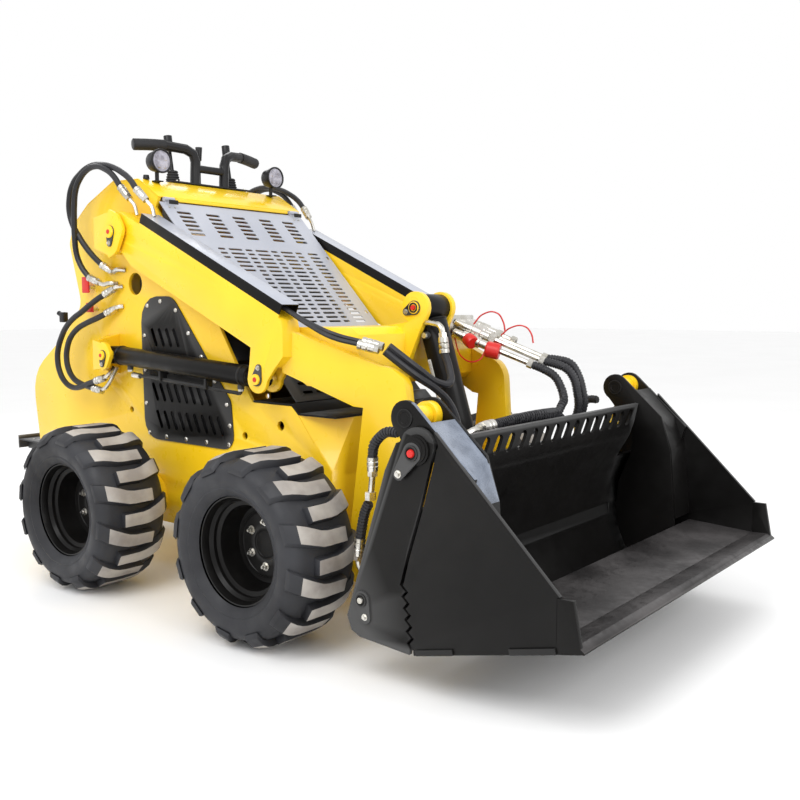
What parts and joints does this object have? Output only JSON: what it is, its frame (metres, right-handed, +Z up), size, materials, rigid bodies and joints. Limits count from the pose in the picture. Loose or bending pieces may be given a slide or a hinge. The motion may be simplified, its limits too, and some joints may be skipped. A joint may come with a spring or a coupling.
{
  "type": "skid steer loader",
  "caption": "Stand-on mini skid steer loader on four wheels, with twin lift arms, a tilting two-section clamshell bucket, a hinged sloping bonnet and a rear platform.",
  "frame": {"origin": "on the ground, midway between the bucket lip and the platform rear edge, on the machine centre plane", "axes": "-Y is the machine front, +X its own left side, +Z up"},
  "size_m": [1.21, 2.353, 1.3137],
  "materials": {
    "bare_steel": "worn bare steel",
    "black_paint": "satin black enamel",
    "black_plastic": "moulded lamp housing",
    "chrome_rod": "hard chrome rod",
    "gray_paint": "light cool gray satin enamel",
    "grip_rubber": "foam and rubber grips",
    "hose_rubber": "braided hydraulic hose cover",
    "tyre_rubber": "moulded black tyre rubber",
    "yellow_paint": "saturated yellow gloss enamel"
  },
  "bodies": {
    "chassis": {"belly_and_rear_panel": "yellow_paint", "boom_bracket_left": "yellow_paint", "boom_bracket_right": "yellow_paint", "cowl": "yellow_paint", "cylinder_bracket_left": "yellow_paint", "cylinder_bracket_right": "yellow_paint", "front_grille": "gray_paint", "handlebar": "grip_rubber", "hoses_left": "hose_rubber", "hoses_right": "hose_rubber", "nose_guard": "yellow_paint", "operator_platform": "bare_steel", "radiator": "black_paint", "side_plate_left": "yellow_paint", "side_plate_right": "yellow_paint", "vent_panel_left": "black_paint", "vent_panel_right": "black_paint", "work_light_left": "black_plastic", "work_light_right": "black_plastic"},
    "wheel_front_right": {"rim_front_right": "black_paint", "tyre_front_right": "tyre_rubber"},
    "wheel_front_left": {"rim_front_left": "black_paint", "tyre_front_left": "tyre_rubber"},
    "wheel_rear_right": {"rim_rear_right": "black_paint", "tyre_rear_right": "tyre_rubber"},
    "wheel_rear_left": {"rim_rear_left": "black_paint", "tyre_rear_left": "tyre_rubber"},
    "boom": {"boom_arm_left": "yellow_paint", "boom_arm_right": "yellow_paint", "boom_cross_member": "yellow_paint"},
    "bonnet": {"bonnet": "gray_paint"},
    "bucket_back": {"bucket_back": "black_paint", "bucket_coupling": "black_paint"},
    "bucket_clam": {"bucket_clam": "black_paint", "cutting_edge": "black_paint"},
    "lift_barrel_right": {"lift_right_barrel": "black_paint"},
    "lift_rod_right": {"lift_right_rod": "chrome_rod"},
    "lift_barrel_left": {"lift_left_barrel": "black_paint"},
    "lift_rod_left": {"lift_left_rod": "chrome_rod"},
    "clam_barrel_right": {"clam_right_barrel": "yellow_paint"},
    "clam_rod_right": {"clam_right_rod": "chrome_rod"},
    "clam_barrel_left": {"clam_left_barrel": "yellow_paint"},
    "clam_rod_left": {"clam_left_rod": "chrome_rod"},
    "tilt_barrel": {"tilt_barrel": "black_paint"},
    "tilt_rod": {"tilt_rod": "chrome_rod"}
  },
  "joints": [
    {"name": "wheel_spin_front_right", "type": "hinge", "parent": "chassis", "child": "wheel_front_right", "pos_m": [-0.497, -0.3235, 0.2285], "axis": [1, 0, 0], "continuous": true},
    {"name": "wheel_spin_front_left", "type": "hinge", "parent": "chassis", "child": "wheel_front_left", "pos_m": [0.497, -0.3235, 0.2285], "axis": [1, 0, 0], "continuous": true},
    {"name": "wheel_spin_rear_right", "type": "hinge", "parent": "chassis", "child": "wheel_rear_right", "pos_m": [-0.497, 0.3815, 0.2285], "axis": [1, 0, 0], "continuous": true},
    {"name": "wheel_spin_rear_left", "type": "hinge", "parent": "chassis", "child": "wheel_rear_left", "pos_m": [0.497, 0.3815, 0.2285], "axis": [1, 0, 0], "continuous": true},
    {"name": "boom_lift", "type": "hinge", "parent": "chassis", "child": "boom", "pos_m": [0, 0.4395, 1], "axis": [-1, 0, 0], "range_deg": [0, 65], "deforming": ["hoses_left", "hoses_right"]},
    {"name": "bucket_tilt", "type": "hinge", "parent": "boom", "child": "bucket_back", "pos_m": [0, -0.5335, 0.13], "axis": [1, 0, 0], "range_deg": [-4, 106]},
    {"name": "clam_open", "type": "hinge", "parent": "bucket_back", "child": "bucket_clam", "pos_m": [0, -0.8045, 0.503], "axis": [-1, 0, 0], "range_deg": [0, 65]},
    {"name": "bonnet_open", "type": "hinge", "parent": "chassis", "child": "bonnet", "pos_m": [0, 0.3225, 1.094], "axis": [-1, 0, 0], "range_deg": [0, 65]},
    {"name": "lift_swing_right", "type": "hinge", "parent": "chassis", "child": "lift_barrel_right", "pos_m": [-0.322, 0.4965, 0.642], "axis": [-1, 0, 0], "range_deg": [0, 53.5]},
    {"name": "lift_slide_right", "type": "slide", "parent": "lift_barrel_right", "child": "lift_rod_right", "axis": [0, -0.9979, -0.0647], "range_m": [0, 0.365]},
    {"name": "lift_swing_left", "type": "hinge", "parent": "chassis", "child": "lift_barrel_left", "pos_m": [0.322, 0.4965, 0.642], "axis": [-1, 0, 0], "range_deg": [0, 53.5]},
    {"name": "lift_slide_left", "type": "slide", "parent": "lift_barrel_left", "child": "lift_rod_left", "axis": [0, -0.9979, -0.0647], "range_m": [0, 0.365]},
    {"name": "tilt_swing", "type": "hinge", "parent": "boom", "child": "tilt_barrel", "pos_m": [0, -0.4335, 0.782], "axis": [1, 0, 0], "range_deg": [-7.5, 0.6]},
    {"name": "tilt_slide", "type": "slide", "parent": "tilt_barrel", "child": "tilt_rod", "axis": [0, -0.3072, -0.9516], "range_m": [-0.013, 0.303]},
    {"name": "clam_swing_right", "type": "hinge", "parent": "bucket_back", "child": "clam_barrel_right", "pos_m": [-0.4732, -0.6595, 0.171], "axis": [-1, 0, 0], "range_deg": [0, 3.7]},
    {"name": "clam_slide_right", "type": "slide", "parent": "clam_barrel_right", "child": "clam_rod_right", "axis": [0, -0.2594, 0.9658], "range_m": [-0.076, 0]},
    {"name": "clam_swing_left", "type": "hinge", "parent": "bucket_back", "child": "clam_barrel_left", "pos_m": [0.4732, -0.6595, 0.171], "axis": [-1, 0, 0], "range_deg": [0, 3.7]},
    {"name": "clam_slide_left", "type": "slide", "parent": "clam_barrel_left", "child": "clam_rod_left", "axis": [0, -0.2594, 0.9658], "range_m": [-0.076, 0]}
  ],
  "couplings": [
    {"joint": "lift_swing_right", "follows": "boom_lift", "ratio": 0.81145},
    {"joint": "lift_slide_right", "follows": "boom_lift", "m_per_rad": 0.31762},
    {"joint": "lift_swing_left", "follows": "boom_lift", "ratio": 0.81145},
    {"joint": "lift_slide_left", "follows": "boom_lift", "m_per_rad": 0.31762},
    {"joint": "tilt_swing", "follows": "bucket_tilt", "ratio": -0.064705},
    {"joint": "tilt_slide", "follows": "bucket_tilt", "m_per_rad": 0.16207},
    {"joint": "clam_swing_right", "follows": "clam_open", "ratio": 0.054223},
    {"joint": "clam_slide_right", "follows": "clam_open", "m_per_rad": -0.065385},
    {"joint": "clam_swing_left", "follows": "clam_open", "ratio": 0.054223},
    {"joint": "clam_slide_left", "follows": "clam_open", "m_per_rad": -0.065385}
  ]
}
